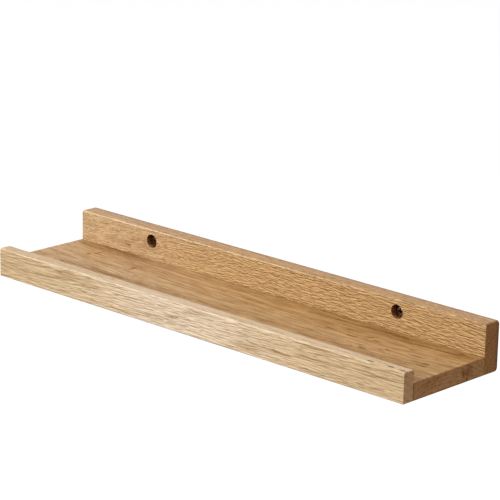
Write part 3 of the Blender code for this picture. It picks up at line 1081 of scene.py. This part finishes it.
class LEDGE_OT_shelf_board(bpy.types.Operator):
    """Builds the shelf between the back board and the lip"""

    bl_idname = "ledge.shelf_board"
    bl_label = "Shelf"

    def execute(self, context):
        long_radii = (HIDDEN_RADIUS,) * 4
        end_radii = (HIDDEN_RADIUS, HIDDEN_RADIUS, END_RADIUS, END_RADIUS)
        cutters = dowel_bores(LIP_DOWELS + BACK_DOWELS)
        build_board("oak_shelf", SHELF, "oak_shelf", long_radii, end_radii, cutters)
        return {"FINISHED"}


class LEDGE_OT_front_lip(bpy.types.Operator):
    """Builds the low board along the front"""

    bl_idname = "ledge.front_lip"
    bl_label = "Front Lip"

    def execute(self, context):
        long_radii = (END_RADIUS, HIDDEN_RADIUS, CREST_RADIUS, CREST_RADIUS)
        end_radii = (END_RADIUS, END_RADIUS, END_RADIUS, LIP_CORNER_RADIUS)
        build_board("oak_front_lip", LIP, "oak_lip", long_radii, end_radii, dowel_bores(LIP_DOWELS))
        return {"FINISHED"}


def screw_profile(low_y, high_y, head_radius):
    """Rings of the head, as (radius, y), from its dome down to the shank, and Y of the shank's rings.

    The dome is a quarter ellipse. A straight rim and one small rounding join it to the underside.
    """
    under = low_y + HEAD_HEIGHT
    rim = under - HEAD_RIM
    turn = np.linspace(DOME_START, QUARTER, DOME_STEPS)
    dome = np.stack([head_radius * np.sin(turn), rim - (rim - low_y) * np.cos(turn)], axis=-1)
    turn = np.linspace(0, QUARTER, RIM_STEPS)
    lower_radius = head_radius - RIM_ROUNDING * (1 - np.cos(turn))
    lower = np.stack([lower_radius, under - RIM_ROUNDING * (1 - np.sin(turn))], axis=-1)
    head = np.concatenate([dome, lower, [(SHANK_RADIUS * ROOT_SHARE, under)]])
    return head, np.linspace(under, high_y, round((high_y - under) / THREAD_STEP))


def thread_radius(look, shank_y, angle, under, tip):
    """Radius of the shank at each y and angle.

    The plain neck gives way to a core with one ridge, a triangle across, whose place along the
    shank moves by one pitch in each turn. Core and ridge both narrow to the tip.
    """
    travel = shank_y[:, None] - under
    phase = (travel / look.pitch - angle / TURN) % 1.0
    ridge = np.clip(1 - np.abs(phase - 0.5) / RIDGE_HALF, 0, 1)
    taper = np.clip((tip - shank_y) / POINT_LENGTH, 0.0, 1.0)[:, None]
    start = np.clip((travel - look.neck) / look.pitch, 0.0, 1.0)
    core = look.core * (TIP_SHARE + (1 - TIP_SHARE) * taper**TIP_CURVE)
    crest = core + (SHANK_RADIUS - look.core) * np.sqrt(taper) * ridge
    neck = SHANK_RADIUS * NECK_SHARE
    return neck + (crest - neck) * start


def recess_cutter(name, axis, top_y):
    """A cross that narrows from above the dome to its floor.

    In each eighth of a turn its outline is the arm's end or the arm's side, whichever is nearer
    along the ray from the middle.
    """
    arm, reach, eighth = RECESS_ARM / 2, RECESS_SPAN / 2, QUARTER / 2
    corner = math.atan2(arm, reach)
    end = np.linspace(0, corner, RECESS_END_STEPS)
    side = np.linspace(corner, eighth, RECESS_STEPS)[1:]
    rise = np.concatenate([end, side])
    sweep = np.concatenate([rise, QUARTER - rise[-2:0:-1]])
    angle = (sweep + np.arange(4)[:, None] * QUARTER).ravel()
    folded = np.abs((angle + eighth) % QUARTER - eighth)
    radius = np.minimum(reach / np.cos(folded), arm / np.maximum(np.sin(folded), LEAST_SINE))
    slope = (1 - RECESS_TAPER) / RECESS_DEPTH
    y = np.array([top_y - OVERSHOOT, top_y, top_y + RECESS_DEPTH])
    size = np.array([1 + slope * OVERSHOOT, 1.0, RECESS_TAPER])
    return place(name, mesh_from_rings(name, turned_rings(size[:, None] * radius, y, angle, axis)))


class LEDGE_OT_wall_screws(bpy.types.Operator):
    """Builds the two wall screws, with their threads and cross recesses"""

    bl_idname = "ledge.wall_screws"
    bl_label = "Wall Screws"

    def execute(self, context):
        look = context.scene.screw_finish
        steel = steel_material()
        angle = TURN * np.arange(SCREW_STEPS) / SCREW_STEPS
        for node in SCREWS:
            low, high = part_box(node)
            axis = (low + high) / 2
            head, shank_y = screw_profile(low.y, high.y, (high.x - low.x) / 2)
            shank = thread_radius(look, shank_y, angle, low.y + HEAD_HEIGHT, high.y)
            head_radius = np.broadcast_to(head[:, :1], (len(head), SCREW_STEPS))
            radius = np.concatenate([head_radius, shank])
            y = np.concatenate([head[:, 1], shank_y])
            name = node.replace("wall_screw", "threaded_screw")
            piece = place(name, mesh_from_rings(name, turned_rings(radius, y, angle, axis)))
            carve(piece, recess_cutter(f"{name}_recess", axis, low.y))
            finish_piece(piece, steel, node)
        return {"FINISHED"}


class LEDGE_OT_dowels(bpy.types.Operator):
    """Gives the fluted dowels their wood"""

    bl_idname = "ledge.dowels"
    bl_label = "Dowels"

    def execute(self, context):
        beech = beech_material()
        for node in LIP_DOWELS + BACK_DOWELS:
            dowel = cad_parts[node]
            dowel.data.materials.clear()
            dowel.data.materials.append(beech)
        return {"FINISHED"}


def glue_slab(front_node, rear_node):
    """The glue between two boards: it fills their gap less a hair, and stops short of every face."""
    shelf_low, shelf_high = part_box(SHELF)
    hair = Vector((GLUE_RECESS, GLUE_CLEARANCE, GLUE_RECESS))
    low = Vector((shelf_low.x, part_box(front_node)[1].y, shelf_low.z)) + hair
    high = Vector((shelf_high.x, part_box(rear_node)[0].y, shelf_high.z)) - hair
    return Board(low, high, (GLUE_ROUNDING,) * 4, (GLUE_ROUNDING,) * 4, GLUE_STEP)


class LEDGE_OT_glue_lines(bpy.types.Operator):
    """Fills the two glued joints, a little short of the boards' faces"""

    bl_idname = "ledge.glue_lines"
    bl_label = "Glue Lines"

    def execute(self, context):
        glue = glue_material()
        for name, boards in (("glue_line_front", (LIP, SHELF)), ("glue_line_rear", (SHELF, BACK))):
            piece = place(name, glue_slab(*boards).mesh(name, GLUE_WAVES, GLUE_WAVES, len(name)))
            finish_piece(piece, glue, None)
        return {"FINISHED"}


def seen_rays(net):
    """1 where the camera or a reflection looks, also through clear things, and 0 for other light."""
    path = net.add("LightPath").outputs
    seen = net.math("MAXIMUM", path["Is Camera Ray"], path["Is Glossy Ray"])
    return net.math("MAXIMUM", seen, path["Is Transmission Ray"])


def make_floor(stage):
    """A pale floor, which the camera sees lifted to white where no shadow falls on it."""
    corner = FLOOR_REACH * np.array([[-1, -1], [1, -1], [1, 1], [-1, 1]])
    height = LEDGE_MIDDLE.z - stage.floor_drop
    mesh = bpy.data.meshes.new("studio_floor")
    mesh.from_pydata([(x, y, height) for x, y in corner], [], [(0, 1, 2, 3)])
    made, net = new_material("pale_floor")
    lift = net.times(seen_rays(net), FLOOR_LIFT)
    surface = net.add("BsdfDiffuse", {"Color": linear(FLOOR_COLOUR)})
    glow = net.add("Emission", {"Color": WHITE, "Strength": lift})
    both = net.add("AddShader", {0: surface.outputs[0], 1: glow.outputs[0]})
    net.add("OutputMaterial", {"Surface": both.outputs[0]})
    mesh.materials.append(made)
    place("studio_floor", mesh)


def make_surroundings(stage):
    """White all round: the ambient strength for light, and full white where seen or reflected."""
    world = bpy.data.worlds.new("white_studio")
    world.use_nodes = True
    world.node_tree.nodes.clear()
    net = NodeNet(world.node_tree)
    strength = net.line(seen_rays(net), 1.0 - stage.ambient, stage.ambient)
    glow = net.add("Background", {"Color": WHITE, "Strength": strength})
    net.add("OutputWorld", {"Surface": glow.outputs[0]})
    bpy.context.scene.world = world


def make_lamp(name, direction, size, power):
    """A square lamp that looks at the ledge's middle from the given direction."""
    lamp = bpy.data.lights.new(name, "AREA")
    lamp.size = size
    lamp.energy = power
    holder = place(name, lamp)
    towards = direction.normalized()
    holder.location = LEDGE_MIDDLE + towards * LAMP_DISTANCE
    holder.rotation_mode = "QUATERNION"
    holder.rotation_quaternion = towards.to_track_quat("Z", "Y")


def make_camera(stage):
    """From the ledge's middle: turned to its azimuth, elevation and roll, then moved back and aside."""
    lens = bpy.data.cameras.new("ledge_camera")
    lens.lens = stage.lens
    turn = Matrix.Rotation(stage.azimuth, 4, "Z") @ Matrix.Rotation(QUARTER - stage.elevation, 4, "X")
    turn = turn @ Matrix.Rotation(stage.roll, 4, "Z")
    back = Matrix.Translation((*CAMERA_SHIFT, stage.distance))
    camera = place("ledge_camera", lens)
    camera.matrix_world = Matrix.Translation(LEDGE_MIDDLE) @ turn @ back
    bpy.context.scene.camera = camera


class LEDGE_OT_stage(bpy.types.Operator):
    """Sets the floor, the surroundings, the lamps and the camera"""

    bl_idname = "ledge.stage"
    bl_label = "Stage"

    def execute(self, context):
        stage = context.scene.ledge_stage
        make_floor(stage)
        make_surroundings(stage)
        make_lamp("key_lamp", KEY_DIRECTION, KEY_SIZE, stage.key_power)
        make_lamp("rear_lamp", REAR_DIRECTION, REAR_SIZE, stage.rear_power)
        make_camera(stage)
        context.scene.view_settings.view_transform = "Standard"
        return {"FINISHED"}


class LEDGE_PT_panel(bpy.types.Panel):
    """Lists the steps that build the ledge and the settings they read"""

    bl_label = "Picture Ledge"
    bl_idname = "LEDGE_PT_panel"
    bl_space_type = "VIEW_3D"
    bl_region_type = "UI"
    bl_category = "Ledge"

    def draw(self, context):
        layout = self.layout
        for operator in OPERATORS:
            layout.operator(operator.bl_idname)
        for name, group in SETTINGS.items():
            box = layout.box()
            for setting in group.__annotations__:
                box.prop(getattr(context.scene, name), setting)


OPERATORS = (
    LEDGE_OT_back_board,
    LEDGE_OT_shelf_board,
    LEDGE_OT_front_lip,
    LEDGE_OT_wall_screws,
    LEDGE_OT_dowels,
    LEDGE_OT_glue_lines,
    LEDGE_OT_stage,
)
SETTINGS = {"oak_finish": OakFinish, "screw_finish": ScrewFinish, "ledge_stage": StageSettings}
CLASSES = (*SETTINGS.values(), *OPERATORS, LEDGE_PT_panel)


def register():
    for item in CLASSES:
        bpy.utils.register_class(item)
    for name, group in SETTINGS.items():
        setattr(bpy.types.Scene, name, bpy.props.PointerProperty(type=group))


def unregister():
    for name in SETTINGS:
        delattr(bpy.types.Scene, name)
    for item in reversed(CLASSES):
        bpy.utils.unregister_class(item)


def main():
    register()
    bpy.ops.ledge.back_board()
    bpy.ops.ledge.shelf_board()
    bpy.ops.ledge.front_lip()
    bpy.ops.ledge.wall_screws()
    bpy.ops.ledge.dowels()
    bpy.ops.ledge.glue_lines()
    bpy.ops.ledge.stage()


if __name__ == "__main__":
    main()
